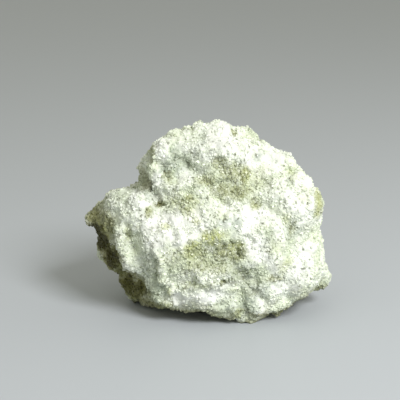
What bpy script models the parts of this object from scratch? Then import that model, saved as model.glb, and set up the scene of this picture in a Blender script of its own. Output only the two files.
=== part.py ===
"""Grossular garnet in matrix: one broken lump of sugary, pale green rock.

Blender 4.5, metres, +Z up. The lump stands on the flats of its underside at z = 0, with the origin under
the middle of its box. Its best face looks along -Y. The sizes below are in millimetres and degrees.
"""

from math import radians

import bmesh
import bpy
from mathutils import Euler, Matrix, Vector, noise

MM = 0.001

# Driving sizes: the nets that the masses are fused in, how often each is smoothed, and the facets left
FUSE_NET = 0.9
FUSE_SMOOTHINGS = 2
FINE_NET = 0.8
FINE_SMOOTHINGS = 1
SMOOTHING = 0.5
FACETS = 8200

# How often each ball's faces are split in four
BALL_DETAIL = 2

# How far each ball is swollen towards a box: 2 is round, and more is boxier
MASS_SQUARENESS = 3.0
KNOB_SQUARENESS = 2.6
SCOOP_SQUARENESS = 2.3

# Relief of the broken surface: how wide each size of unevenness is, and how far it stands out or tilts
SWELL_WIDTH = 9.0
SWELL_HEIGHT = 0.7
CHUNK_WIDTH = 5.6
CHUNK_TILT = 0.34
MIDDLE = Vector((0.5, 0.5, 0.5))
KNOB_WIDTH = 3.4
KNOB_HEIGHT = 0.3
KNOB_MIDDLE = 0.42
GRIT_WIDTH = 2.2
GRIT_HEIGHT = 0.22
GRIT_FALLOFF = 0.9
GRIT_STEP_DOWN = 2.0
GRIT_OCTAVES = 3

# Masses of rock that the lump is made of: centre, half sizes, turn about X, Y and Z
MASSES = {
    "heart": ((1.4, 4, 22), (20.6, 18, 19), (0, 0, 0)),
    "crown": ((2.3, 4, 32.8), (13.6, 14, 12.2), (8, 12, 0)),
    "front_wall": ((5, -5, 15.5), (18.5, 13.5, 12), (-6, 4, 6)),
    "right_shoulder": ((15.5, 3, 25), (12.5, 15, 11.5), (0, 30, 0)),
    "right_hip": ((17.5, 0, 13), (11, 14, 10.5), (0, 0, 20)),
    "left_flank": ((-17.5, 4, 19), (11, 13, 11), (0, -12, 0)),
    "left_foot": ((-11.4, 4, 8), (10.4, 12, 9.4), (0, 0, 0)),
    "front_toe": ((9.4, -8.6, 8), (10.6, 8.2, 8.2), (-6, 8, 0)),
    "front_block": ((-10.2, -7.8, 15.0), (7.2, 8.8, 11.6), (-4, -16, 28)),
    "rear_bulge": ((-1, 12, 17), (20, 11, 17.6), (0, 0, 15)),
    "rear_shoulder": ((7, 10, 27), (13, 11, 11.5), (20, 0, 0)),
}

# Knobs and ledges that stand out of the masses
KNOBS = {
    "peak": ((3.0, 2, 45.2), (3.4, 4, 2.8), (0, 10, 0)),
    "peak_step": ((-2.6, 2, 44.4), (3.0, 3, 2.4), (0, 0, 0)),
    "crown_end": ((-8, 1, 42.8), (3.4, 3.5, 2.8), (0, 0, 0)),
    "crown_front": ((3.0, -5.0, 40.8), (7.5, 5.0, 3.4), (0, 18, 0)),
    "crown_left": ((-4.6, -3.0, 39.6), (6.4, 5.0, 4.6), (0, 0, 0)),
    "brow": ((-11.8, -4, 40.4), (3.6, 4.8, 4.6), (0, 4, 0)),
    "brow_side": ((-11.2, -3.0, 36.0), (4.4, 5.6, 5.4), (0, 26, 0)),
    "brow_knob": ((-15.4, -1.4, 35.4), (2.8, 4.2, 2.8), (0, 10, 0)),
    "left_cap": ((-21.8, 0, 26.6), (5.6, 7, 4.0), (0, -24, 0)),
    "left_tip": ((-28.6, 3, 21.6), (2.8, 3.4, 2.6), (0, 20, 0)),
    "left_rib": ((-20.2, -7.2, 19.0), (2.9, 4.6, 8.0), (0, -10, 10)),
    "saddle": ((-15.8, -6.6, 26.2), (4.8, 6.2, 4.2), (0, 14, 0)),
    "rib_knob": ((-18.6, -8.6, 14.4), (2.6, 3.6, 2.8), (0, 0, 0)),
    "dark_block": ((-25.2, 3, 16.2), (4.2, 6, 6.2), (0, -6, 0)),
    "low_left_block": ((-17.2, 3, 5.6), (4.8, 7, 6.4), (0, -16, 0)),
    "right_knob": ((28.2, -1, 7.6), (3.1, 4, 3.2), (0, 30, 0)),
    "right_cheek": ((25.0, 0, 25.2), (3.7, 7, 6.6), (0, 10, 0)),
    "right_ledge": ((25.0, -1, 13.0), (3.8, 7, 5.8), (0, 0, 0)),
    "step_one": ((12.2, 1, 40.4), (3.8, 5, 2.4), (0, 32, 0)),
    "step_two": ((18.2, 0, 37.8), (3.4, 5, 2.5), (0, 35, 0)),
    "step_three": ((20.4, 0, 33.6), (3.2, 5, 3.4), (0, 70, 0)),
    "low_right_foot": ((21.0, -7.4, 8.2), (5.6, 5.8, 4.4), (0, -24, 0)),
    "toe_right": ((16.4, -10.8, 4.2), (4.4, 4.2, 4.0), (0, -10, 0)),
    "toe_left": ((3.4, -11.6, 3.6), (4.8, 3.6, 2.6), (0, 12, 0)),
    "toe_tip": ((10.2, -12.5, 2.2), (4.0, 3, 2.8), (0, 0, 0)),
    "front_sill": ((1.4, -8.4, 21.0), (13.4, 8.2, 9.6), (-5, -6, 0)),
    "right_brow": ((18.4, -5.0, 26.4), (9.2, 8.2, 10.6), (8, 12, 0)),
    "front_cheek": ((13.4, -9.8, 18.0), (7.4, 7.6, 10.0), (0, 8, -8)),
    "low_cheek": ((22.4, -9, 12.0), (5.4, 6.5, 5.6), (0, 0, 0)),
    "low_band": ((-0.6, -9.8, 9.6), (12.4, 7.6, 7.6), (-6, 8, 0)),
    "pillar_foot": ((-8.6, -8.4, 6.8), (6.2, 7.0, 5.2), (0, -6, 0)),
    "rear_ledge": ((-5.0, 18.0, 26.0), (9.0, 5.0, 3.6), (-20, 10, 8)),
    "rear_block": ((11.0, 17.0, 11.0), (8.0, 6.4, 7.4), (8, 0, -20)),
    "rear_crest": ((4.0, 14.0, 36.0), (7.6, 5.4, 4.2), (30, 0, 10)),
    "rear_corner": ((-17.0, 13.0, 13.0), (6.4, 6.0, 7.0), (0, 0, 30)),
}

# Hollows broken out of the lump
SCOOPS = {
    "garnet_hollow": ((5.4, -18.2, 35.4), (8.6, 8, 4.6), (0, 42, -4)),
    "lower_hollow": ((0.6, -22.6, 18.4), (9.4, 7.0, 5.6), (0, 12, 0)),
    "olive_pocket": ((6.2, -20.6, 20.4), (3.8, 5.4, 2.8), (0, 20, 0)),
    "left_trough": ((-17.6, -15.6, 18.0), (1.0, 3.6, 8.6), (0, -10, 30)),
    "cleft": ((-14.8, -9.2, 31.8), (0.7, 2.8, 5.4), (0, -46, 0)),
    "deep_pit": ((-11.4, -12.2, 29.4), (1.3, 3.0, 1.0), (0, 30, 0)),
    "grey_hollow": ((-5.4, -11.6, 39.0), (5.0, 5.0, 4.2), (0, 20, 0)),
    "grey_trough": ((8.2, -22.2, 13.8), (8.0, 5, 2.4), (0, 42, 0)),
    "grey_slit": ((11.4, -20.0, 11.6), (2.8, 4.0, 0.9), (0, 42, 0)),
    "valley": ((21.0, -17.6, 22.0), (1.2, 5, 5.0), (0, -30, 0)),
    "dark_crack": ((-25.0, -6.6, 16.6), (0.9, 4.0, 3.6), (0, -10, 0)),
    "rear_hollow": ((3.0, 27.4, 18.6), (8.0, 6.4, 5.4), (0, 20, 0)),
    "rear_notch": ((-16.4, 21.0, 27.0), (4.4, 7.0, 6.4), (0, 30, 0)),
    "rear_cut": ((-5.0, 27.0, 4.0), (8.0, 5.6, 4.6), (0, -10, 0)),
    "right_hollow": ((32.4, 10.0, 20.0), (6.6, 6.4, 5.6), (0, 0, 0)),
    "under_rib": ((-18.8, -13.0, 10.2), (2.6, 3.4, 1.3), (0, 0, 0)),
    "under_front": ((-9.2, -15, -0.7), (11.6, 11, 4.2), (0, 4, 0)),
    "under_right": ((22.0, -4, -1.5), (9, 9, 4.0), (0, 0, 0)),
}

FLOOR_SIDE = 200
PALE_GREEN = (0.63, 0.67, 0.53, 1.0)
SUGARY_ROUGHNESS = 0.85


def clear_scene():
    for obj in list(bpy.data.objects):
        bpy.data.objects.remove(obj)


def new_collection(name):
    collection = bpy.data.collections.new(name)
    bpy.context.scene.collection.children.link(collection)
    return collection


def object_from(name, mesh, collection):
    data = bpy.data.meshes.new(name)
    mesh.to_mesh(data)
    mesh.free()
    obj = bpy.data.objects.new(name, data)
    collection.objects.link(obj)
    return obj


def as_cutter(obj):
    obj.hide_render = True
    obj.display_type = "WIRE"
    return obj


def add_ball(mesh, shape, squareness):
    """Adds one coarse ball to a bmesh: swollen towards a box, stretched to its half sizes and put in place."""
    centre, half_sizes, turn = shape
    ball = bmesh.ops.create_icosphere(mesh, subdivisions=BALL_DETAIL, radius=1.0)["verts"]
    for vertex in ball:
        reach = sum(abs(side) ** squareness for side in vertex.co) ** (1 / squareness)
        vertex.co /= reach
    angles = Euler([radians(angle) for angle in turn])
    place = Matrix.LocRotScale(Vector(centre) * MM, angles, Vector(half_sizes) * MM)
    bmesh.ops.transform(mesh, matrix=place, verts=ball)


def rough_shape(collection):
    """All masses and knobs as overlapping balls in one object."""
    mesh = bmesh.new()
    for shape in MASSES.values():
        add_ball(mesh, shape, MASS_SQUARENESS)
    for shape in KNOBS.values():
        add_ball(mesh, shape, KNOB_SQUARENESS)
    return object_from("garnet_in_matrix", mesh, collection)


def scoop_cutters(collection):
    for name, shape in SCOOPS.items():
        mesh = bmesh.new()
        add_ball(mesh, shape, SCOOP_SQUARENESS)
        as_cutter(object_from(name, mesh, collection))


def floor_cutter(collection):
    """A block under z = 0."""
    mesh = bmesh.new()
    place = Matrix.Translation((0, 0, -FLOOR_SIDE / 2 * MM))
    bmesh.ops.create_cube(mesh, size=FLOOR_SIDE * MM, matrix=place)
    return as_cutter(object_from("floor_block", mesh, collection))


def bake(obj):
    """Replaces the object's mesh by what its modifiers make of it."""
    graph = bpy.context.evaluated_depsgraph_get()
    data = bpy.data.meshes.new_from_object(obj.evaluated_get(graph))
    obj.modifiers.clear()
    obj.data = data


def fuse(obj, net, smoothings):
    """Makes one skin of whatever overlaps, and takes the steps of the net out of it."""
    remesh = obj.modifiers.new("fuse", "REMESH")
    remesh.mode = "VOXEL"
    remesh.voxel_size = net * MM
    smooth = obj.modifiers.new("smooth", "SMOOTH")
    smooth.factor = SMOOTHING
    smooth.iterations = smoothings


def cut_away(obj, cutters):
    cut = obj.modifiers.new("scoops", "BOOLEAN")
    cut.operation = "DIFFERENCE"
    cut.operand_type = "COLLECTION"
    cut.collection = cutters


def relief_at(point):
    """How far the broken surface stands out at a point: swells, tilted chunks, round knobs and grit."""
    swell = noise.noise(point / SWELL_WIDTH) * SWELL_HEIGHT
    chunk_centre = noise.voronoi(point / CHUNK_WIDTH)[1][0] * CHUNK_WIDTH
    tilt = (noise.cell_vector(chunk_centre) - MIDDLE) * CHUNK_TILT
    chunk = tilt.dot(point - chunk_centre)
    knob_distance = noise.voronoi(point / KNOB_WIDTH)[0][0]
    knob = (KNOB_MIDDLE - knob_distance) * KNOB_HEIGHT
    grit = noise.fractal(point / GRIT_WIDTH, GRIT_FALLOFF, GRIT_STEP_DOWN, GRIT_OCTAVES) * GRIT_HEIGHT
    return swell + chunk + knob + grit


def roughen(obj):
    points = obj.data.vertices
    normals = [point.normal.copy() for point in points]
    for point, normal in zip(points, normals):
        point.co += normal * relief_at(point.co / MM) * MM


def thin_out(obj):
    """Brings the net's four-sided faces, two triangles each, down to the facets left."""
    thin = obj.modifiers.new("thin_out", "DECIMATE")
    thin.ratio = FACETS / (2 * len(obj.data.polygons))


def stand_on_floor(obj, floor):
    """Cuts the underside flat and moves the lump so that the origin is under the middle of its box."""
    cut = obj.modifiers.new("underside", "BOOLEAN")
    cut.operation = "DIFFERENCE"
    cut.object = floor
    bake(obj)
    corners = [Vector(corner) for corner in obj.bound_box]
    middle = sum(corners, Vector()) / len(corners)
    obj.location = (-middle.x, -middle.y, 0)
    bpy.context.view_layer.update()


def stone_material():
    material = bpy.data.materials.new("sugary_matrix")
    material.use_nodes = True
    shader = material.node_tree.nodes["Principled BSDF"]
    shader.inputs["Base Color"].default_value = PALE_GREEN
    shader.inputs["Roughness"].default_value = SUGARY_ROUGHNESS
    shader.inputs["Metallic"].default_value = 0.0
    return material


def main():
    clear_scene()
    lump = new_collection("grossular_garnet_in_matrix")
    scoops = new_collection("scoop_cutters")
    floors = new_collection("floor_cutter")
    scoops.hide_render = True
    floors.hide_render = True

    rock = rough_shape(lump)
    fuse(rock, FUSE_NET, FUSE_SMOOTHINGS)
    bake(rock)
    scoop_cutters(scoops)
    cut_away(rock, scoops)
    fuse(rock, FINE_NET, FINE_SMOOTHINGS)
    bake(rock)
    roughen(rock)
    thin_out(rock)
    stand_on_floor(rock, floor_cutter(floors))
    rock.data.materials.clear()
    rock.data.materials.append(stone_material())


main()
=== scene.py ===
# Grossular garnet in matrix: a hand-sized lump of sugary white rock, grown through with pale green,
# olive and yellow-green garnet. The shapes are worked out in millimetres and written to meshes in metres.
import math

import bmesh
import bpy
import numpy as np
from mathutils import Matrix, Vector


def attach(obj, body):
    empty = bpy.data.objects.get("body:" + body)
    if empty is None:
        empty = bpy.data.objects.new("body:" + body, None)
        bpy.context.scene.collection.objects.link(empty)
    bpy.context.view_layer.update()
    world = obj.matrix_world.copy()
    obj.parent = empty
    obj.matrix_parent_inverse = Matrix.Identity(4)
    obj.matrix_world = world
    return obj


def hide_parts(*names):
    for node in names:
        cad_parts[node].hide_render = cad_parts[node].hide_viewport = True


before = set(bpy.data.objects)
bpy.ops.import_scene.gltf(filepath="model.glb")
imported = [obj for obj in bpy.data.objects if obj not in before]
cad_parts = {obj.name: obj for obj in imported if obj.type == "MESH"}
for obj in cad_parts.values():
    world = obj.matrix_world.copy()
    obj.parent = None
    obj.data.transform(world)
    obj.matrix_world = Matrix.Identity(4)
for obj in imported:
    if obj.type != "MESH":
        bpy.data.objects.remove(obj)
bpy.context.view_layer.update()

mm = 0.001
rockNode = "garnet_in_matrix"

# The noise that all relief is made of: numbers that look random, but are the same in each run
noisePlan = {
    "primes": (73856093, 19349663, 83492791),  # one for each index of a cell
    "seedPrime": 40503,
    "stirs": ((15, 0x2C1B3C6D), (12, 0x297A2D39)),  # each how far the bits are moved, and a factor
    "lastMove": 15,
    "lastBits": 0xFFFF,
    "allBits": 0xFFFFFFFF,
    "layerSeeds": 17,  # from the seed of one layer of rough noise to the next
    "spotSeeds": (1, 2, 3),  # added to a net's seed: for the place of its seed points along x, y and z,
    "ownSeed": 4,  # for each cell's own number,
    "tiltSeeds": (5, 6, 7),  # and for its tilt
    "domeReach": 0.85,  # of each dome, in cells
    "crease": 0.10,  # width of the crease between two facets, in cells
}


def smoothStep(value, low, high):
    # 0 below low, 1 above high, and an S-shaped rise between them
    part = np.clip((value - low) / (high - low), 0.0, 1.0)
    return part * part * (3.0 - 2.0 * part)


def cellNumber(cell, seed):
    # a fixed number from 0 to 1 for each cell of a grid: its three indices times large primes, stirred
    x, y, z = cell.astype(np.int64).T
    primes = noisePlan["primes"]
    stirred = x * primes[0] ^ y * primes[1] ^ z * primes[2] ^ seed * noisePlan["seedPrime"]
    stirred &= noisePlan["allBits"]
    for move, factor in noisePlan["stirs"]:
        stirred = (stirred ^ stirred >> move) * factor & noisePlan["allBits"]
    return (stirred ^ stirred >> noisePlan["lastMove"] & noisePlan["lastBits"]) / noisePlan["allBits"]


def softNoise(points, size, seed):
    # random numbers on a grid of this size, blended between its corners with smooth steps, from -1 to 1
    place = points / size
    cell = np.floor(place)
    part = smoothStep(place - cell, 0.0, 1.0)
    total = np.zeros(len(points))
    for corner in np.ndindex(2, 2, 2):
        weight = np.prod(np.where(corner, part, 1.0 - part), axis=1)
        total += weight * cellNumber(cell + corner, seed)
    return 2.0 * total - 1.0


def softWay(points, size, seed):
    # three soft noises side by side: a smooth way to move each point along x, y and z
    return np.stack([softNoise(points, size, seed + axis) for axis in range(3)], axis=1)


def roughNoise(points, size, seed, layers=4):
    # soft noise laid over itself, each layer half the size and half the height of the last
    total = np.zeros(len(points))
    for layer in range(layers):
        total += softNoise(points, size / 2 ** layer, seed + noisePlan["layerSeeds"] * layer) / 2 ** layer
    return total


def nearestSeed(points, size, seed):
    # one seed point at random in each cell of a grid: the way from the nearest one, in millimetres, its
    # distance and the next one's, in cells, and the cell that it is in
    place = points / size
    cell = np.floor(place)
    nearest = np.full(len(points), np.inf)
    second = np.full(len(points), np.inf)
    way = np.zeros((len(points), 3))
    home = np.zeros((len(points), 3))
    for step in np.ndindex(3, 3, 3):
        there = cell + np.array(step) - 1.0
        spot = there + np.stack([cellNumber(there, seed + more) for more in noisePlan["spotSeeds"]], axis=1)
        away = np.linalg.norm(place - spot, axis=1)
        closer = away < nearest
        second = np.where(closer, nearest, np.minimum(second, away))
        way[closer] = (place - spot)[closer] * size
        home[closer] = there[closer]
        nearest = np.where(closer, away, nearest)
    return way, nearest, second, home


def domes(points, size, seed):
    # a bed of rounded crumbs: each is a quarter circle from 0 at the rim of its cell to 1 over its seed
    # point, and comes with its cell's own number
    _, nearest, _, home = nearestSeed(points, size, seed)
    height = np.sqrt(np.clip(1.0 - (nearest / noisePlan["domeReach"]) ** 2, 0.0, 1.0))
    return height, cellNumber(home, seed + noisePlan["ownSeed"])


def facets(points, size, seed):
    # a broken surface: each cell is a plane tilted its own way, and it meets its neighbours in a crease
    way, nearest, second, home = nearestSeed(points, size, seed)
    tilt = np.stack([cellNumber(home, seed + more) for more in noisePlan["tiltSeeds"]], axis=1) - 0.5
    return (tilt * way).sum(axis=1) * smoothStep(second - nearest, 0.0, noisePlan["crease"])


def meshFromArrays(name, points, faces, attributes, smooth=False):
    # points in millimetres and four-cornered faces, with one float attribute for each name
    mesh = bpy.data.meshes.new(name)
    mesh.vertices.add(len(points))
    mesh.vertices.foreach_set("co", (points * mm).astype(np.float32).ravel())
    mesh.loops.add(faces.size)
    mesh.loops.foreach_set("vertex_index", faces.astype(np.int32).ravel())
    mesh.polygons.add(len(faces))
    mesh.polygons.foreach_set("loop_start", np.arange(0, faces.size, faces.shape[1], dtype=np.int32))
    mesh.polygons.foreach_set("use_smooth", np.full(len(faces), smooth))
    mesh.update(calc_edges=True)
    for key, values in attributes.items():
        layer = mesh.attributes.new(key, "FLOAT", "POINT")
        layer.data.foreach_set("value", values.astype(np.float32))
    obj = bpy.data.objects.new(name, mesh)
    bpy.context.scene.collection.objects.link(obj)
    return obj


# Where each mineral shows on the front: the middle of each zone in x and z, its reach along x and z, and its
# strength. A zone lies on the front of the rock, whatever y that has there.
mineralZones = {
    "olive": [
        ((2.5, 39.2), (2.0, 1.8), 0.75),  # upper hollow, in bands that fall to the right
        ((4.6, 36.8), (2.6, 2.2), 0.8),
        ((8.8, 36.2), (1.5, 2.4), 0.85),
        ((0.2, 35.2), (3.0, 1.6), 0.8),
        ((3.2, 33.2), (3.0, 2.0), 0.85),
        ((7.6, 32.6), (3.6, 1.8), 0.85),
        ((11.4, 30.0), (1.4, 1.6), 0.55),
        ((12.6, 35.8), (2.4, 2.6), 0.45),
        ((-6.0, 31.0), (4.2, 3.8), 0.12),
        ((-4.4, 31.4), (1.4, 0.9), 0.8),
        ((-5.4, 28.3), (1.2, 1.2), 0.8),
        ((-11.6, 29.2), (1.5, 0.9), 1.0),
        ((-17.0, 24.2), (0.9, 0.7), 0.6),
        ((-14.5, 27.6), (1.1, 1.0), 0.9),
        ((-9.8, 35.6), (1.4, 1.4), 0.65),
        ((7.0, 19.0), (2.4, 2.2), 0.8),  # lower hollow
        ((8.5, 14.4), (3.0, 1.8), 0.45),
        ((3.4, 19.6), (2.6, 2.8), 0.85),
        ((5.8, 18.2), (2.2, 1.2), 0.9),
        ((-2.8, 18.8), (4.2, 2.0), 0.7),
        ((-1.0, 16.2), (5.0, 2.2), 0.6),
        ((-8.4, 17.5), (4.0, 2.6), 0.3),
        ((-3.5, 13.6), (3.5, 1.6), 0.15),
        ((2.4, 15.4), (3.0, 1.6), 0.6),
        ((-2.6, 11.0), (2.8, 0.9), 0.45),
        ((3.7, 11.9), (1.0, 0.9), 1.0),
        ((7.4, 2.8), (1.0, 1.8), 0.6),
        ((16.2, 12.3), (1.7, 0.8), 0.7),
        ((17.8, 15.3), (1.7, 2.0), 0.4),
        ((15.7, 20.4), (2.4, 2.0), 0.35),
        ((20.0, 23.6), (1.2, 1.6), 0.5),
        ((6.9, 44.8), (1.0, 0.9), 1.0),
        ((27.4, 28.5), (1.6, 3.4), 0.55),
        ((-9.2, 8.8), (0.9, 1.0), 0.8),
        ((-10.0, 4.8), (3.2, 1.2), 0.65),
        ((28.0, 6.2), (2.0, 1.8), 0.5),
        ((-14.2, 41.0), (0.9, 2.0), 0.8),
        ((-19.3, 22.0), (1.0, 3.0), 0.6),
        ((-24.6, 24.0), (1.4, 3.0), 0.5),
        ((-20.6, 18.0), (1.4, 5.0), 0.2),
        ((-14.6, 14.0), (2.2, 6.0), 0.12),
    ],
    "yellow": [
        ((9.5, 36.6), (1.2, 1.6), 0.55),
        ((0.9, 22.4), (2.8, 2.0), 1.0),
        ((-3.0, 20.9), (1.8, 1.2), 0.9),
        ((-4.8, 20.2), (1.8, 1.0), 0.7),
        ((-3.4, 18.6), (3.6, 1.6), 0.35),
        ((19.5, 16.0), (1.4, 1.6), 0.4),
        ((4.0, 28.2), (3.0, 1.6), 0.25),
        ((6.0, 20.6), (2.0, 1.4), 0.5),
        ((-4.5, 29.4), (3.2, 2.6), 0.3),
        ((-3.0, 26.3), (1.4, 0.8), 0.5),
        ((11.5, 29.2), (1.2, 1.1), 0.45),
        ((18.8, 26.3), (1.1, 1.6), 0.5),
        ((27.2, 29.0), (1.5, 2.6), 0.7),
        ((20.5, 36.0), (1.2, 0.8), 0.35),
        ((18.2, 14.2), (1.4, 1.6), 0.15),
        ((-10.3, 24.8), (1.3, 0.8), 0.6),
        ((7.2, 3.4), (0.9, 1.2), 0.35),
        ((-7.4, 30.8), (3.0, 1.8), 0.3),
        ((23.0, 31.5), (2.5, 2.5), 0.25),
    ],
    "slate": [
        ((-8.2, 40.2), (1.8, 2.8), 0.95),
        ((-9.6, 37.2), (3.2, 1.6), 1.0),
        ((4.6, 26.4), (2.6, 1.8), 0.5),
        ((-5.6, 38.6), (1.8, 1.2), 0.75),
        ((-14.3, 31.7), (1.6, 1.8), 0.8),
        ((-3.6, 41.5), (3.2, 2.6), 0.2),
        ((-1.4, 45.0), (1.0, 1.6), 0.7),
        ((-2.0, 37.4), (2.4, 1.0), 0.6),
        ((-20.5, 29.5), (5.0, 4.0), 0.35),
        ((-17.0, 22.5), (2.0, 2.5), 0.25),
        ((-14.8, 15.0), (2.2, 5.5), 0.65),
        ((-13.0, 8.0), (2.6, 4.0), 0.7),
        ((8.4, 14.8), (4.4, 3.0), 0.9),
        ((11.6, 10.2), (3.6, 2.2), 0.7),
        ((9.6, 6.2), (2.4, 3.4), 0.85),
        ((4.6, 5.6), (3.6, 1.8), 0.5),
        ((17.2, 29.0), (1.5, 2.2), 0.2),
        ((20.5, 22.6), (2.2, 2.2), 0.75),
        ((14.0, 22.6), (2.0, 2.6), 0.45),
        ((3.6, 27.0), (0.8, 1.2), 0.9),
        ((6.4, 26.2), (1.3, 2.6), 0.8),
        ((12.2, 39.4), (1.2, 0.9), 0.8),
        ((28.3, 6.5), (2.4, 2.4), 0.5),
    ],
    # in part a brown earthy stain, in part painted shade: on the shaded left side and lower left, and in the
    # cleft under the brow
    "earthAndShade": [
        ((-29.2, 23.4), (2.8, 2.6), 0.85),
        ((-26.4, 23.6), (2.6, 2.4), 0.7),
        ((-27.0, 18.0), (3.4, 5.6), 1.0),
        ((-24.6, 14.5), (3.0, 4.6), 1.0),
        ((-22.0, 9.5), (3.4, 3.0), 0.9),
        ((-19.6, 6.0), (5.0, 4.0), 0.95),
        ((-15.0, 2.8), (5.8, 2.2), 0.85),
        ((-11.6, 4.0), (3.0, 1.2), 0.7),
        ((-29.6, 19.6), (1.8, 2.4), 1.0),
        # painted shade in the cleft under the brow
        ((-15.8, 33.4), (1.4, 2.0), 0.5),
        ((-11.8, 29.2), (1.0, 0.6), 0.8),
        ((-17.8, 34.5), (1.6, 2.4), 0.4),
        # painted shadow under the lower right corner
        ((18.2, 2.0), (3.6, 1.7), 0.8),
    ],
    "chalk": [  # the whitest, smoothest parts
        ((-10.5, 25.2), (7.5, 3.2), 1.0),
        ((-12.6, 21.5), (3.0, 3.4), 1.0),
        ((17.5, 23.5), (2.6, 3.5), 0.6),
        ((-20.5, 29.5), (4.0, 3.0), 0.3),
        ((-3.5, 26.0), (3.6, 2.6), 0.8),
        ((23.0, 29.5), (5.6, 6.0), 0.7),
        ((8.5, 27.0), (7.0, 2.8), 0.85),
        ((11.5, 20.4), (3.0, 4.2), 0.9),
        ((4.2, 44.0), (5.6, 3.8), 0.9),
        ((15.0, 38.6), (6.5, 2.8), 0.8),
        ((10.2, 41.2), (3.0, 1.8), 0.7),
        ((0.0, 40.6), (2.8, 1.6), 0.7),
        ((-11.3, 42.6), (2.2, 3.2), 0.8),
        ((-12.6, 35.1), (1.6, 1.6), 0.9),
        ((-5.8, 35.9), (1.8, 1.5), 0.9),
        ((-14.0, 30.0), (3.2, 2.0), 0.8),
        ((-20.2, 15.0), (1.2, 3.0), 0.5),
        ((-18.2, 30.8), (1.6, 1.4), 1.0),
        ((-1.5, 8.0), (5.5, 1.8), 1.0),
        ((-7.4, 6.6), (1.4, 2.6), 0.9),
        ((19.8, 10.8), (5.0, 4.0), 0.7),
        ((23.6, 17.0), (3.2, 5.0), 0.7),
        ((14.5, 5.6), (3.0, 2.0), 0.3),
        ((-5.0, 42.5), (3.0, 2.0), 0.6),
        ((-21.0, 26.5), (3.0, 2.0), 0.5),
        ((16.0, 16.0), (3.0, 3.0), 0.5),
        ((12.8, 2.8), (1.6, 1.2), 0.8),
        ((-6.5, 22.4), (3.5, 2.0), 0.9),
    ],
}
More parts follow.
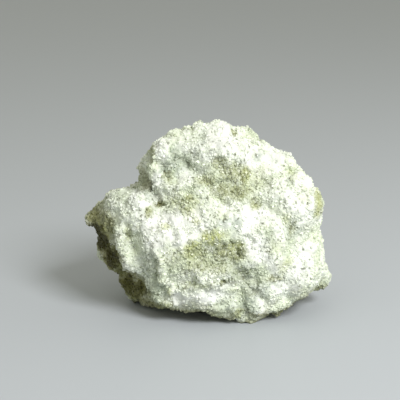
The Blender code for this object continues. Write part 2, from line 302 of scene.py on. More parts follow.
# Single forms of the front, each a rounded ridge or groove from one point in x and z to the next: how wide
# it is to either side, and how far it stands out or, below zero, goes in.
ridgesAndGrooves = [
    ((-16.1, 36.2), (-14.8, 33.4), 0.9, -1.1),  # cleft between the brow and the side lobe
    ((-15.2, 33.2), (-12.6, 30.6), 1.0, -1.5),
    ((-12.5, 29.4), (-11.0, 29.1), 0.75, -1.5),
    ((-11.0, 32.0), (-10.1, 30.7), 0.5, -0.6),
    ((-12.9, 43.2), (-12.9, 41.1), 0.6, -0.7),
    ((-8.9, 41.8), (-7.9, 38.7), 0.9, -0.8),
    ((-12.0, 38.4), (-9.4, 38.0), 1.0, -0.6),
    ((-10.7, 36.9), (-8.9, 34.9), 1.0, -1.0),
    ((-6.4, 39.1), (-5.2, 37.9), 0.7, -0.7),
    ((-1.6, 45.6), (-1.3, 44.0), 0.6, -0.6),
    ((-5.0, 38.1), (-1.8, 36.2), 1.1, -0.5),  # bands of the upper hollow
    ((-1.8, 36.2), (1.1, 33.8), 1.2, -0.6),
    ((1.1, 33.8), (3.7, 31.0), 1.2, -0.6),
    ((2.0, 40.2), (4.7, 36.6), 1.1, -0.45),
    ((3.3, 34.7), (8.3, 31.7), 1.1, -0.55),
    ((7.1, 38.9), (9.8, 35.4), 1.0, -0.55),
    ((11.0, 31.1), (11.9, 29.2), 0.8, -0.6),
    ((12.6, 37.2), (13.0, 34.6), 0.7, -0.45),
    ((10.9, 40.1), (12.2, 39.2), 0.8, -0.5),
    ((2.7, 21.6), (4.9, 18.3), 0.8, -0.8),  # creases of the lower hollow
    ((5.6, 21.9), (6.6, 18.9), 0.5, -0.6),
    ((6.6, 18.9), (8.2, 17.8), 0.5, -0.7),
    ((4.0, 16.8), (10.5, 15.8), 1.4, 0.35),
    ((5.0, 11.8), (10.0, 10.4), 1.6, -0.7),
    ((8.0, 13.6), (11.2, 9.0), 1.1, -0.7),  # long trough that falls to the right
    ((11.2, 9.0), (14.8, 5.4), 1.1, -0.9),
    ((7.8, 8.6), (9.0, 2.6), 1.3, -1.3),
    ((11.2, 12.2), (11.7, 11.3), 0.6, -0.8),
    ((3.5, 12.3), (3.9, 11.5), 0.6, -0.9),
    ((-4.7, 9.4), (-0.4, 10.6), 0.6, -0.2),
    ((15.8, 12.2), (16.8, 12.0), 0.5, -0.5),
    ((16.1, 10.3), (17.1, 9.2), 0.6, -0.5),
    ((13.7, 21.9), (16.1, 20.6), 0.7, -0.5),
    ((17.3, 19.8), (18.4, 17.9), 0.6, -0.4),
    ((19.7, 22.0), (21.7, 21.2), 0.8, -0.5),
    ((3.4, 27.6), (3.7, 26.4), 0.5, -0.5),
    ((5.8, 27.8), (7.0, 24.8), 0.8, -0.4),
    ((-14.2, 20.4), (-12.9, 16.4), 0.8, -0.7),  # foot of the side wall, and the sharp edge beside it
    ((-12.9, 16.4), (-12.7, 11.2), 0.8, -0.7),
    ((-12.9, 20.0), (-11.5, 16.5), 0.6, 0.6),
    ((-11.5, 16.5), (-11.2, 11.5), 0.6, 0.7),
    ((-11.2, 11.5), (-8.9, 8.6), 0.6, 0.7),
    ((-8.9, 8.6), (-7.9, 5.8), 0.7, 0.6),
    ((-14.6, 6.2), (-11.8, 5.8), 0.5, 0.5),
    ((-11.8, 5.8), (-9.4, 5.3), 0.5, 0.5),
    ((-20.4, 24.4), (-19.6, 22.0), 0.9, -0.8),
    ((-19.6, 22.0), (-18.4, 18.5), 0.9, -0.9),
    ((-22.2, 22.5), (-21.3, 18.0), 0.8, 0.5),  # rib
    ((-21.3, 18.0), (-19.6, 13.5), 1.0, 0.5),
    ((-26.0, 19.2), (-24.9, 15.7), 0.9, -0.8),
    ((-19.6, 6.2), (-19.6, 4.1), 0.8, -0.6),
    ((-11.3, 43.2), (-11.3, 41.6), 1.5, 0.5),  # lumps
    ((-12.5, 35.2), (-12.5, 35.2), 1.1, 0.5),
    ((-9.3, 45.0), (-8.4, 45.2), 1.0, 0.6),
    ((-7.1, 45.6), (-6.9, 44.6), 0.5, -0.7),
    ((-5.7, 46.0), (-5.2, 46.0), 0.9, 0.5),
    ((-4.2, 46.6), (-4.2, 45.2), 0.5, -0.7),
    ((-2.8, 46.6), (-2.6, 46.4), 1.0, 0.5),
    ((-11.0, 44.6), (-10.4, 43.6), 0.5, -0.7),
    ((4.1, 45.2), (4.1, 43.6), 2.0, 0.5),
    ((-8.0, 44.2), (-7.6, 44.0), 1.3, 0.5),
    ((11.7, 6.5), (13.0, 3.7), 0.9, 0.3),
    ((-2.5, 8.4), (0.5, 8.2), 1.3, 0.4),
    ((19.0, 9.0), (21.5, 8.0), 1.6, 0.8),
    ((-10.5, 28.2), (-7.5, 27.6), 1.3, 0.6),
    ((-6.5, 29.0), (-5.0, 28.6), 1.2, 0.5),
    ((16.5, 31.0), (19.5, 26.5), 1.4, 0.5),
    ((16.0, 16.0), (16.5, 14.0), 1.2, 0.5),
    ((0.5, 11.0), (2.5, 10.8), 1.0, 0.4),
    ((-8.4, 17.0), (-8.0, 14.0), 1.5, 0.6),
    ((-1.5, 5.6), (5.8, 4.6), 2.2, 1.1),  # lower lip
    ((2.5, 3.4), (5.6, 2.8), 1.6, 1.2),
    ((16.2, 1.0), (19.4, 1.8), 1.5, -1.6),
    ((-21.4, 28.0), (-20.6, 26.4), 1.6, 1.2),  # side lobe
    ((-18.6, 31.0), (-17.6, 31.4), 1.6, 1.4),
    ((-29.5, 24.5), (-25.8, 27.0), 1.5, -0.9),
    ((-14.3, 42.6), (-14.7, 39.6), 1.0, -1.0),
    ((-28.8, 20.0), (-27.4, 15.0), 1.8, -0.7),
    ((-17.1, 37.2), (-16.8, 33.6), 1.4, -0.9),
    ((-24.0, 10.5), (-22.5, 7.0), 2.0, 0.7),
    ((-10.5, 45.8), (-3.5, 47.2), 1.8, -0.6),  # rim
    ((5.6, 46.4), (11.0, 43.8), 1.8, -0.6),
    ((19.5, 39.5), (25.8, 34.0), 2.2, 0.5),
]

# How zones and forms hold to the front: what lies further behind it than the slack fades out
frontPlan = {
    "forward": 0.05,  # how much a millimetre further forward counts when the front's depth at a spot is read
    "slack": 1.5,
    "zoneDepth": (3.0, 1.3),  # a zone's reach behind that: a length, plus this share of its lesser reach
    "formDepth": (2.0, 2.0),  # the same for a ridge or groove: a length, plus this share of its width
    "zoneFade": (0.4, 1.45),  # where a zone begins to fade and where it is gone, in reaches
    "zoneRags": ((2.0, 0.30, 3), (6.0, 0.25, 2)),  # width, strength and layers of each noise on its border
    "ragSeeds": 5,  # from the seed of one such noise to the next
    "zoneSeed": 40,
    "formLimits": (-1.6, 1.4),  # the deepest and the highest that forms add up to
    "leastSquare": 0.01,  # of the length of a form's line, because that of a lump has none
}


def behindFront(points, spot, reach):
    # how far y lies behind the rock's front at a spot in x and z, less the slack; the front there is the
    # point near the spot that lies furthest forward
    away = np.linalg.norm((points[:, [0, 2]] - spot) / np.array(reach), axis=1)
    front = points[np.argmin(away + frontPlan["forward"] * points[:, 1]), 1]
    return np.maximum(points[:, 1] - front - frontPlan["slack"], 0.0)


def zoneStrength(points, zones, seed):
    # the strongest of the zones at each point: each fades with the distance from its middle, measured in
    # its own reaches, over a ragged border
    length, share = frontPlan["zoneDepth"]
    ragged = sum(
        strength * roughNoise(points, width, seed + frontPlan["ragSeeds"] * n, layers)
        for n, (width, strength, layers) in enumerate(frontPlan["zoneRags"])
    )
    strongest = np.zeros(len(points))
    for middle, reach, strength in zones:
        across = (points[:, [0, 2]] - middle) / np.array(reach)
        back = behindFront(points, middle, reach) / (length + share * min(reach))
        away = np.linalg.norm(np.c_[across, back], axis=1) + ragged
        strongest = np.maximum(strongest, strength * (1.0 - smoothStep(away, *frontPlan["zoneFade"])))
    return strongest


def moulded(points, forms):
    # the heights of all ridges and grooves added up: each falls off as a bell with the distance from its
    # line in x and z, and as another bell behind the front
    length, share = frontPlan["formDepth"]
    height = np.zeros(len(points))
    flat = points[:, [0, 2]]
    for start, end, width, rise in forms:
        along = np.array(end) - start
        square = max(along @ along, frontPlan["leastSquare"])
        part = np.clip((flat - start) @ along / square, 0.0, 1.0)
        away = np.linalg.norm(flat - start - part[:, None] * along, axis=1)
        behind = behindFront(points, (np.array(start) + end) / 2.0, (width, width))
        height += rise * np.exp(-(away / width) ** 2 - (behind / (length + share * width)) ** 2)
    return np.clip(height, *frontPlan["formLimits"])


# Over the sides and the back the same minerals lie in veins and clouds
rearPlan = {
    "begins": (-4.0, 6.0),  # the y at which they set in, and the y from which they are at full strength
    # their noise is leaned over, so that no vein runs along an axis, and stirred, so that none is straight
    "lean": ((0.80, 0.36, 0.48), (-0.60, 0.48, 0.64), (0.00, -0.80, 0.60)),
    "stir": (5.0, 2.5),  # how wide the bends are, and how far they go
    "stirSeed": 65,
    "cloudSeed": 61,
    "clouds": {  # how wide they are, the noise values at which they begin and are full, and their strength
        "olive": (11.0, 0.12, 0.75, 0.95),
        "yellow": (5.5, 0.70, 1.10, 0.80),
        "slate": (9.0, 0.25, 0.90, 0.70),
        "chalk": (12.0, 0.10, 0.70, 0.60),
    },
    # painted shade under the rock, laid into the earth stain on faces that look down: how strongly, how far
    # down a face looks where that begins and is full, and the heights of the same
    "underside": {"strength": 0.75, "facesDown": (0.25, 0.8), "height": (12.0, 2.0)},
}


def minerals(points, outward):
    # zones set on the front, and veins and clouds of the same minerals over the rest
    found = {
        key: zoneStrength(points, zones, frontPlan["zoneSeed"] + n)
        for n, (key, zones) in enumerate(mineralZones.items())
    }
    rear = smoothStep(points[:, 1], *rearPlan["begins"])
    leaned = points @ np.array(rearPlan["lean"])
    width, reach = rearPlan["stir"]
    leaned += reach * softWay(leaned, width, rearPlan["stirSeed"])
    for n, (key, (width, low, high, strength)) in enumerate(rearPlan["clouds"].items()):
        cloud = smoothStep(roughNoise(leaned, width, rearPlan["cloudSeed"] + n), low, high)
        found[key] = np.maximum(found[key], rear * cloud * strength)
    # painted shade on the underside, added to the earth stain
    under = rearPlan["underside"]
    top, full = under["height"]
    beneath = smoothStep(-outward[:, 2], *under["facesDown"])
    beneath *= smoothStep(top - points[:, 2], 0.0, top - full)
    found["earthAndShade"] = np.maximum(found["earthAndShade"], beneath * under["strength"])
    return found


skinPlan = {
    "name": "garnet_rock_skin",
    "weld": 0.0001,  # corners of the solid closer than this are one
    "net": 0.37,  # size of its faces
    "rubs": 5,  # how often the net is smoothed, and how much each time
    "rub": 0.5,
    # each of these: how wide the forms are, how far they stand out or tilt, and a seed
    "chunks": (5.2, 0.28, 130),
    "chips": (2.5, 0.34, 140),
    "knobs": (3.1, 0.25, 90),
    "crumbs": (1.3, 0.17, 100),
    "sugar": (0.8, 0.15, 110),
    "pits": (2.9, 0.60, 120),
    "sugarLayers": 2,
    "domeMiddle": 0.6,  # the height of a knob or crumb that leaves the surface where it is
    "inward": 0.26,  # the whole skin is moved in, so that its forms keep within the solid
    # the nets of cells are bent, so that none shows as a row: how wide, how far, and a seed
    "broadBend": (3.2, 0.9, 70),
    "fineBend": (1.6, 0.35, 75),
    # how crumbly the rock is: on average, the width, strength and seed of its unevenness, what olive and
    # slate minerals add, and its limits
    "crumbly": {"middle": 0.55, "noise": (6.0, 0.8, 81), "minerals": 0.4, "limits": (0.05, 1.2)},
    "stillThere": {"chips": 0.3, "knobs": 0.2, "crumbs": 0.2},  # the share left where it doesn't crumble
    "chalkCalms": 0.6,  # the share of the chunks' tilt that chalk takes away
    "rearRougher": {"by": 0.9, "begins": (-4.0, 8.0)},  # the broad forms are stronger there
    "pitWall": (-0.28, -0.08),  # minus the distance of a pit's rim and floor from its seed point, in cells
    "pitHere": (0.45, 0.75),  # a cell's own number times crumbly, at which a pit begins and is full
    "sunk": (0.02, 0.30),  # how deep between crumbs dust and painted shade begin and are full
    "sunkInGrooves": (0.2, 1.0),  # the same in a groove, and how much dust and painted shade that has
    "grooveDustAndShade": 0.8,
}


def bareSkin(plan):
    # the solid's surface laid over with an even net, its facets rubbed down
    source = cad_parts[rockNode]
    welded = bmesh.new()
    welded.from_mesh(source.data)
    bmesh.ops.remove_doubles(welded, verts=welded.verts, dist=plan["weld"] * mm)
    mesh = bpy.data.meshes.new("bare_rock")
    welded.to_mesh(mesh)
    welded.free()
    obj = bpy.data.objects.new("bare_rock", mesh)
    bpy.context.scene.collection.objects.link(obj)
    net = obj.modifiers.new("Net", "REMESH")
    net.mode = "VOXEL"
    net.voxel_size = plan["net"] * mm
    rub = obj.modifiers.new("Rub", "SMOOTH")
    rub.factor = plan["rub"]
    rub.iterations = plan["rubs"]
    finished = bpy.data.meshes.new_from_object(obj.evaluated_get(bpy.context.evaluated_depsgraph_get()))
    points = np.empty(len(finished.vertices) * 3, np.float32)
    finished.vertices.foreach_get("co", points)
    outward = np.empty(len(finished.vertices) * 3, np.float32)
    finished.vertex_normals.foreach_get("vector", outward)
    faces = np.empty(len(finished.loops), np.int32)
    finished.loops.foreach_get("vertex_index", faces)
    bpy.data.objects.remove(obj)
    bpy.data.meshes.remove(mesh)
    bpy.data.meshes.remove(finished)
    points, outward = (flat.reshape(-1, 3).astype(float) for flat in (points, outward))
    return points / mm, outward, faces.reshape(-1, 4)


def crumbledSkin(points, outward, found, plan):
    # the skin moved along its own outward direction: chunks and chips tilt, knobs and crumbs stand out, pits
    # go in, and all of it is weakest where the rock is chalky; the ridges and grooves come on top of that
    width, reach, seed = plan["broadBend"]
    bent = points + reach * softWay(points, width, seed)
    width, reach, seed = plan["fineBend"]
    stirred = points + reach * softWay(points, width, seed)
    width, strength, seed = plan["crumbly"]["noise"]
    crumbly = plan["crumbly"]["middle"] + strength * roughNoise(points, width, seed)
    crumbly += plan["crumbly"]["minerals"] * (found["olive"] + found["slate"])
    crumbly = np.clip(crumbly - found["chalk"], *plan["crumbly"]["limits"])
    loose = {key: least + (1.0 - least) * crumbly for key, least in plan["stillThere"].items()}
    rugged = 1.0 + plan["rearRougher"]["by"] * smoothStep(points[:, 1], *plan["rearRougher"]["begins"])

    width, rise, seed = plan["knobs"]
    knob = rise * (domes(stirred, width, seed)[0] - plan["domeMiddle"])
    width, rise, seed = plan["crumbs"]
    crumb, tone = domes(stirred, width, seed)
    fine = rise * (crumb - plan["domeMiddle"])
    width, rise, seed = plan["sugar"]
    fine = (fine + rise * roughNoise(points, width, seed, plan["sugarLayers"])) * loose["crumbs"]
    form = moulded(points + (bent - points) / 2.0, ridgesAndGrooves)

    width, tilt, seed = plan["chunks"]
    height = tilt * facets(bent, width, seed) * rugged * (1.0 - plan["chalkCalms"] * found["chalk"])
    width, tilt, seed = plan["chips"]
    height += tilt * facets(stirred, width, seed) * loose["chips"] * rugged
    height += knob * loose["knobs"] * rugged + fine + form
    width, depth, seed = plan["pits"]
    _, away, _, home = nearestSeed(bent + (bent - stirred) / 2.0, width, seed)
    chance = cellNumber(home, seed + noisePlan["ownSeed"]) * crumbly
    pit = smoothStep(-away, *plan["pitWall"]) * smoothStep(chance, *plan["pitHere"])
    height -= depth * pit + plan["inward"]

    # dust and painted shade in the hollows: between crumbs, in grooves and in pits
    sunk = smoothStep(-(fine + knob * crumbly / 2.0), *plan["sunk"])
    sunk = np.maximum(sunk, plan["grooveDustAndShade"] * smoothStep(-form, *plan["sunkInGrooves"]))
    moved = points + outward * height[:, None]
    moved[:, 2] = np.maximum(moved[:, 2], 0.0)  # nothing reaches below the table
    return moved, {"sunk": np.maximum(sunk, pit), "tone": tone, "crumbly": crumbly}


points, outward, faces = bareSkin(skinPlan)
found = minerals(points, outward)
skinPoints, relief = crumbledSkin(points, outward, found, skinPlan)
skin = meshFromArrays(skinPlan["name"], skinPoints, faces, {**found, **relief}, smooth=True)
print("skin:", len(skinPoints), "points,", 2 * len(faces), "triangles")


def rhomb():
    # a calcite cleavage rhomb: the corners of a cube of side 1, leaned over along x and y
    lean = 0.2
    corners = np.array([(x, y, z) for x in (-0.5, 0.5) for y in (-0.5, 0.5) for z in (-0.5, 0.5)])
    leaned = corners @ np.array([(1.0, 0.0, 0.0), (lean, 1.0, 0.0), (lean, lean, 1.0)])
    faces = np.array([(0, 1, 3, 2), (4, 6, 7, 5), (0, 4, 5, 1), (2, 3, 7, 6), (0, 2, 6, 4), (1, 5, 7, 3)])
    return leaned, faces


def garnetForm():
    # a rhombic dodecahedron: a pyramid on each side of a cube, whose slopes pair up into twelve rhombs
    shrunk = 3.2  # it is 4 wide from tip to tip before this, and 1.25 times a grain's size after it
    cube = [(x, y, z) for x in (-1, 1) for y in (-1, 1) for z in (-1, 1)]
    tips = [tuple(2 * side if axis == k else 0 for k in range(3)) for axis in range(3) for side in (-1, 1)]
    corners = np.array(cube + tips, float) / shrunk
    faces = []
    for a, b in ((0, 1), (1, 2), (2, 0)):
        for sideA in (-1, 1):
            for sideB in (-1, 1):
                shared = [i for i, c in enumerate(cube) if c[a] == sideA and c[b] == sideB]
                tipA, tipB = (len(cube) + 2 * axis + (side > 0) for axis, side in ((a, sideA), (b, sideB)))
                ring = [tipA, shared[0], tipB, shared[1]]
                out = np.cross(corners[ring[1]] - corners[ring[0]], corners[ring[2]] - corners[ring[0]])
                faces.append(ring if out @ corners[ring].mean(axis=0) > 0 else ring[::-1])
    return corners, np.array(faces)


whiteGrains = {
    "names": ("calcite_grains_a", "calcite_grains_b"),
    "count": 15500,  # in each piece
    "form": rhomb,
    "size": (0.34, 0.62),
    "depth": (-0.30, -0.04),  # of their middles, from the skin
    "seed": 7,
    # they lie in patches: how wide these are, a seed, the noise values at which one begins and is full, and
    # the share of grains between them; chalk has fewer, too
    "patches": {"width": 3.5, "seed": 140, "begins": (-0.4, 0.5), "between": 0.25},
    "fewerInChalk": 0.65,
}
garnetGrains = {
    "names": ("garnet_grains",),
    "count": 7600,
    "form": garnetForm,
    "size": (0.42, 0.85),
    "depth": (-0.25, 0.06),
    "seed": 11,
    "everywhere": 0.03,  # next to 1 for a full zone of olive or yellow garnet
    "gathering": 1.5,  # the power of a zone's strength that they follow
}
grainPlan = {
    "offTable": 0.9,  # no grain sits on a face that comes lower than this
    "stretch": (0.75, 1.25),  # of each grain along each of its axes
    "seedStep": 100,  # from the seed of one piece to the next
}


def randomTurns(dice, count):
    # rotations spread evenly over all directions, each from a quaternion of four normal draws
    draws = dice.normal(size=(4, count))
    w, x, y, z = draws / np.linalg.norm(draws, axis=0)
    return np.stack([
        1 - 2 * (y * y + z * z), 2 * (x * y - z * w), 2 * (x * z + y * w),
        2 * (x * y + z * w), 1 - 2 * (x * x + z * z), 2 * (y * z - x * w),
        2 * (x * z - y * w), 2 * (y * z + x * w), 1 - 2 * (x * x + y * y),
    ], axis=1).reshape(count, 3, 3)


def spreadGrains(plan, weight):
    # grains dropped on faces of the skin in step with their area and weight, each turned and stretched
    # at random and sunk part of the way into the skin
    count = plan["count"]
    corners = skinPoints[faces]
    across = np.cross(corners[:, 2] - corners[:, 0], corners[:, 3] - corners[:, 1])
    area = np.linalg.norm(across, axis=1)
    offTable = corners[:, :, 2].min(axis=1) > grainPlan["offTable"]
    chance = area * weight[faces].mean(axis=1) * offTable
    form, formFaces = plan["form"]()
    for index, name in enumerate(plan["names"]):
        dice = np.random.default_rng(plan["seed"] + grainPlan["seedStep"] * index)
        spots = dice.choice(len(faces), count, p=chance / chance.sum())
        along = dice.random((count, 2, 1))
        low = corners[spots, 0] * (1 - along[:, 0]) + corners[spots, 1] * along[:, 0]
        high = corners[spots, 3] * (1 - along[:, 0]) + corners[spots, 2] * along[:, 0]
        seats = low * (1 - along[:, 1]) + high * along[:, 1]
        seats += across[spots] / area[spots, None] * dice.uniform(*plan["depth"], (count, 1))
        sizes = dice.uniform(*plan["size"], (count, 1)) * dice.uniform(*grainPlan["stretch"], (count, 3))
        grown = np.einsum("nij,nkj->nki", randomTurns(dice, count), form[None] * sizes[:, None])
        grains = (seats[:, None] + grown).reshape(-1, 3)
        grains[:, 2] = np.maximum(grains[:, 2], 0.0)
        first = np.arange(count)[:, None, None] * len(form)
        passedOn = {
            key: np.repeat(values[faces[spots, 0]], len(form)) for key, values in {**found, **relief}.items()
        }
        passedOn["tone"] = np.repeat(dice.random(count), len(form))
        piece = meshFromArrays(name, grains, (first + formFaces).reshape(-1, 4), passedOn)
        print(name + ":", count, "grains,", 2 * count * len(formFaces), "triangles")
        yield piece


patches = whiteGrains["patches"]
inPatch = smoothStep(roughNoise(skinPoints, patches["width"], patches["seed"]), *patches["begins"])
patchy = patches["between"] + (1.0 - patches["between"]) * inPatch
whites = list(spreadGrains(whiteGrains, patchy * (1.0 - whiteGrains["fewerInChalk"] * found["chalk"])))
power = garnetGrains["gathering"]
green = garnetGrains["everywhere"] + found["olive"] ** power + found["yellow"] ** power
greens = list(spreadGrains(garnetGrains, green))


def hexColour(code):
    # an sRGB hex colour as linear red, green, blue and alpha: the sRGB curve has a straight foot below
    # 0.04045 and rises by a power of 2.4 above it
    parts = [int(code[i:i + 2], 16) / 255 for i in (1, 3, 5)]
    return [p / 12.92 if p <= 0.04045 else ((p + 0.055) / 1.055) ** 2.4 for p in parts] + [1.0]


def addNode(tree, kind, links=None, **settings):
    # a node with its settings; each input gets a value, a socket, or the first live socket of a node
    node = tree.nodes.new(kind)
    for key, value in settings.items():
        setattr(node, key, value)
    for key, value in (links or {}).items():
        if isinstance(value, bpy.types.Node):
            value = next(socket for socket in value.outputs if socket.enabled)
        if isinstance(value, bpy.types.NodeSocket):
            tree.links.new(value, node.inputs[key])
        else:
            node.inputs[key].default_value = value
    return node


stoneColours = {
    "white": "#F0F5E8",  # fine calcite and wollastonite
    "pale": "#DFE7CF",  # the same, tinted by pale garnet
    "chalk": "#FAFCF7",
    "slate": "#A3AFA1",
    "olive": "#A3A877",
    "yellow": "#B6BC69",
    "deepOlive": "#5C5F34",  # single dark garnet grains
    "gap": "#7F8058",  # dust, and painted shade between the grains
    "earthAndShade": "#837F35",  # this and the next darken what they lie on: in part an earthy stain, in part painted shade
    "deepEarth": "#A5A38E",
}
stonePlan = {
    "grains": 0.55,  # width of the white grains and of the garnet between them, in millimetres
    "clouds": 5.0,  # of the clouds of pale garnet, and the noise values at which one begins and is full
    "cloudRange": (0.42, 0.62),
    # in order: which of a grain's three numbers tells how fully it takes the tint, and the least share
    "tints": {
        "chalk": ("Blue", 0.8),
        "slate": ("Red", 0.4),
        "olive": ("Green", 0.65),
        "yellow": ("Blue", 0.4),
    },
    "fleckRange": (0.955, 0.99),  # the draws from which a grain turns deep olive, and is full of it
    "fleckShare": 0.62,
    "fleckGathering": 0.17,  # what olive garnet adds to that draw
    "looseStretch": 2.2,  # width of the stretches where grains lie loosely, and where one begins and is full
    "looseRange": (0.44, 0.62),
    "looseLeast": 0.10,
    "gapRange": (0.50, 0.80),  # distance from a grain's middle at which the painted shade of a gap begins and is full, in grains
    "gapShare": 1.8,  # how dark the painted gap shade and the dust with painted shade are, before each piece's own share of them
    "dustAndShadeShare": 0.6,
    "deepEarthAndShadeRange": (0.88, 1.0),
    "lightness": (0.76, 1.06),  # of the darkest and the lightest grains
    "sugar": 0.35,  # width of the finest relief
    "details": {"clouds": 5.0, "looseStretch": 2.0, "sugar": 2.0},  # how many finer noises lie over each
    "grainRelief": -0.8,  # how much lower a grain's rim is than its middle, next to the finest relief
    "ior": 1.6,  # calcite lies near it, and grossular a little above
}


def stoneMaterial(name, ground, tintShare, gapShare, roughness, bump):
    # Sugary garnet rock, broken and never polished: fine white grains with garnet grains between them.
    # Its broken grains scatter light, so it looks chalky, and only single faces of grains catch a gleam.
    # Sockets given as numbers: those of a Math node are 0, 1 and 2, and a Mix of colours has its share on 0
    # and its two colours on 6 and 7.
    plan = stonePlan
    material = bpy.data.materials.new(name)
    material.use_nodes = True
    tree = material.node_tree
    tree.nodes.clear()
    colour = {key: hexColour(code) for key, code in stoneColours.items()}
    place = addNode(tree, "ShaderNodeTexCoord").outputs["Object"]
    amount = {
        key: addNode(tree, "ShaderNodeAttribute", attribute_name=key).outputs["Fac"]
        for key in ("olive", "yellow", "slate", "earthAndShade", "chalk", "sunk", "tone", "crumbly")
    }
    grains = addNode(tree, "ShaderNodeTexVoronoi", {"Vector": place, "Scale": 1 / (plan["grains"] * mm)})
    # the colour of a grain stands for three numbers drawn for it
    draw = addNode(tree, "ShaderNodeSeparateColor", {"Color": grains.outputs["Color"]}).outputs
    noises = {
        key: addNode(tree, "ShaderNodeTexNoise", {
            "Vector": place, "Scale": 1 / (plan[key] * mm), "Detail": detail})
        for key, detail in plan["details"].items()
    }
    low, high = plan["cloudRange"]
    cloudy = addNode(tree, "ShaderNodeMapRange", {
        "Value": noises["clouds"], "From Min": low, "From Max": high})
    base = addNode(tree, "ShaderNodeMix", {0: cloudy, 6: colour[ground], 7: colour["pale"]}, data_type="RGBA")
    for key, (channel, least) in plan["tints"].items():
        uneven = addNode(tree, "ShaderNodeMapRange", {
            "Value": draw[channel], "To Min": least * tintShare, "To Max": tintShare})
        share = addNode(tree, "ShaderNodeMath", {0: amount[key], 1: uneven}, operation="MULTIPLY")
        base = addNode(tree, "ShaderNodeMix", {0: share, 6: base, 7: colour[key]}, data_type="RGBA")
    # single deep olive grains, more of them where there is much garnet
    garnetHere = addNode(tree, "ShaderNodeMath", {
        0: amount["olive"], 1: plan["fleckGathering"], 2: draw["Blue"]}, operation="MULTIPLY_ADD")
    low, high = plan["fleckRange"]
    fleck = addNode(tree, "ShaderNodeMapRange", {
        "Value": garnetHere, "From Min": low, "From Max": high, "To Max": plan["fleckShare"]})
    # painted shade between the white grains: they are rounded, so dark gaps are painted where three of them
    # meet, in looser stretches
    low, high = plan["looseRange"]
    loose = addNode(tree, "ShaderNodeMapRange", {
        "Value": noises["looseStretch"], "From Min": low, "From Max": high, "To Min": plan["looseLeast"]})
    openness = addNode(tree, "ShaderNodeMath", {0: loose, 1: amount["crumbly"]}, operation="MULTIPLY")
    low, high = plan["gapRange"]
    gap = addNode(tree, "ShaderNodeMapRange", {
        "Value": grains.outputs["Distance"], "From Min": low, "From Max": high,
        "To Max": plan["gapShare"] * gapShare})
    dark = addNode(tree, "ShaderNodeMath", {0: gap, 1: openness}, operation="MULTIPLY")
    # dust and painted shade in the hollows of the skin
    dustAndShade = addNode(tree, "ShaderNodeMath", {
        0: amount["sunk"], 1: plan["dustAndShadeShare"] * gapShare}, operation="MULTIPLY")
    # a brown stain and painted shade lie over all of that, deepest in the middle of their patches, where the
    # painted shade is darkest
    low, high = plan["deepEarthAndShadeRange"]
    deep = addNode(tree, "ShaderNodeMapRange", {"Value": amount["earthAndShade"], "From Min": low, "From Max": high})
    layers = (
        (fleck, "deepOlive", "MIX"),
        (dark, "gap", "MIX"),
        (dustAndShade, "gap", "MIX"),
        (amount["earthAndShade"], "earthAndShade", "MULTIPLY"),
        (deep, "deepEarth", "MULTIPLY"),
    )
    for share, key, blend in layers:
        base = addNode(tree, "ShaderNodeMix", {
            0: share, 6: base, 7: colour[key]}, data_type="RGBA", blend_type=blend)
    # every grain is a little lighter or darker than the next
    low, high = plan["lightness"]
    lightness = addNode(tree, "ShaderNodeMapRange", {"Value": amount["tone"], "To Min": low, "To Max": high})
    base = addNode(tree, "ShaderNodeHueSaturation", {"Color": base, "Value": lightness})
    height = addNode(tree, "ShaderNodeMath", {
        0: grains.outputs["Distance"], 1: plan["grainRelief"], 2: noises["sugar"]}, operation="MULTIPLY_ADD")
    relief = addNode(tree, "ShaderNodeBump", {"Height": height, "Distance": bump * mm, "Strength": 1.0})
    shader = addNode(tree, "ShaderNodeBsdfPrincipled", {
        "Base Color": base, "Roughness": roughness, "IOR": plan["ior"], "Normal": relief})
    addNode(tree, "ShaderNodeOutputMaterial", {"Surface": shader})
    return material


# The same stone on each kind of piece: its ground, how fully minerals tint it, its share of painted gap shade
# and of dust with painted shade, its roughness, and the height of its finest relief in millimetres
stoneFinishes = {
    "sugary_garnet_rock_broken": ([skin], "white", 0.95, 0.55, 0.8, 0.09),
    "calcite_grains_cleaved": (whites, "white", 0.6, 0.15, 0.5, 0.02),
    "grossular_grains_grown": (greens, "pale", 1.0, 0.15, 0.35, 0.02),
}
for name, (pieces, *finish) in stoneFinishes.items():
    material = stoneMaterial(name, *finish)
    for piece in pieces:
        piece.data.materials.append(material)

for piece in [skin] + whites + greens:
    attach(piece, "root")
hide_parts(rockNode)
print("materials: done")


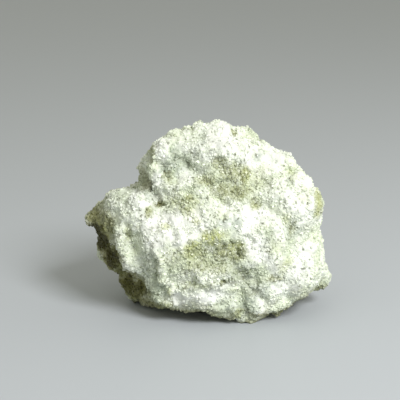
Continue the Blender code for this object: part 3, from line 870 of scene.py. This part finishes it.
studio = {  # in metres, degrees and watts, but the lens and the sensor in millimetres
    "floor": {"name": "studio_floor", "half": 1.5, "colour": "#B9BEC4", "roughness": 0.55},
    "aim": (-0.00206, -0.00296, 0.0275),
    "elevation": 15.0,
    "distance": 0.28,
    "lens": 100.0,
    "sensor": 36.0,
    "nearest": 0.01,  # that the camera sees
    "key": {"from": (0.48, -0.60, 0.64), "distance": 0.60, "size": 0.22, "watts": 3.45},
    "sky": {"colour": (1.0, 0.995, 0.87, 1.0), "strength": 0.495},
}


def aimAt(obj, target):
    # turns a camera or lamp, which look down their own -Z, towards a point
    obj.rotation_mode = "QUATERNION"
    obj.rotation_quaternion = (obj.location - target).to_track_quat("Z", "Y")


unitSquare = np.array([(-1.0, -1.0, 0.0), (1.0, -1.0, 0.0), (1.0, 1.0, 0.0), (-1.0, 1.0, 0.0)])
floorCorners = studio["floor"]["half"] / mm * unitSquare
floor = meshFromArrays(studio["floor"]["name"], floorCorners, np.array([(0, 1, 2, 3)]), {})
floorPaint = bpy.data.materials.new("matt_floor_paint")
floorPaint.use_nodes = True
floorShader = floorPaint.node_tree.nodes["Principled BSDF"]
floorShader.inputs["Base Color"].default_value = hexColour(studio["floor"]["colour"])
floorShader.inputs["Roughness"].default_value = studio["floor"]["roughness"]
floor.data.materials.append(floorPaint)

aim = Vector(studio["aim"])
tilt = math.radians(studio["elevation"])
camera = bpy.data.objects.new("camera", bpy.data.cameras.new("camera"))
camera.data.lens = studio["lens"]
camera.data.sensor_width = studio["sensor"]
camera.data.clip_start = studio["nearest"]
camera.location = aim + Vector((0.0, -math.cos(tilt), math.sin(tilt))) * studio["distance"]
aimAt(camera, aim)
bpy.context.scene.collection.objects.link(camera)
bpy.context.scene.camera = camera

lamp = bpy.data.lights.new("key_softbox", "AREA")
lamp.size = studio["key"]["size"]
lamp.energy = studio["key"]["watts"]
keyLight = bpy.data.objects.new("key_softbox", lamp)
keyLight.location = aim + Vector(studio["key"]["from"]).normalized() * studio["key"]["distance"]
aimAt(keyLight, aim)
bpy.context.scene.collection.objects.link(keyLight)

sky = bpy.data.worlds.new("studio_fill")
sky.use_nodes = True
skyShader = sky.node_tree.nodes["Background"]
skyShader.inputs["Color"].default_value = studio["sky"]["colour"]
skyShader.inputs["Strength"].default_value = studio["sky"]["strength"]
bpy.context.scene.world = sky
bpy.context.scene.view_settings.view_transform = "Standard"
print("studio: done")
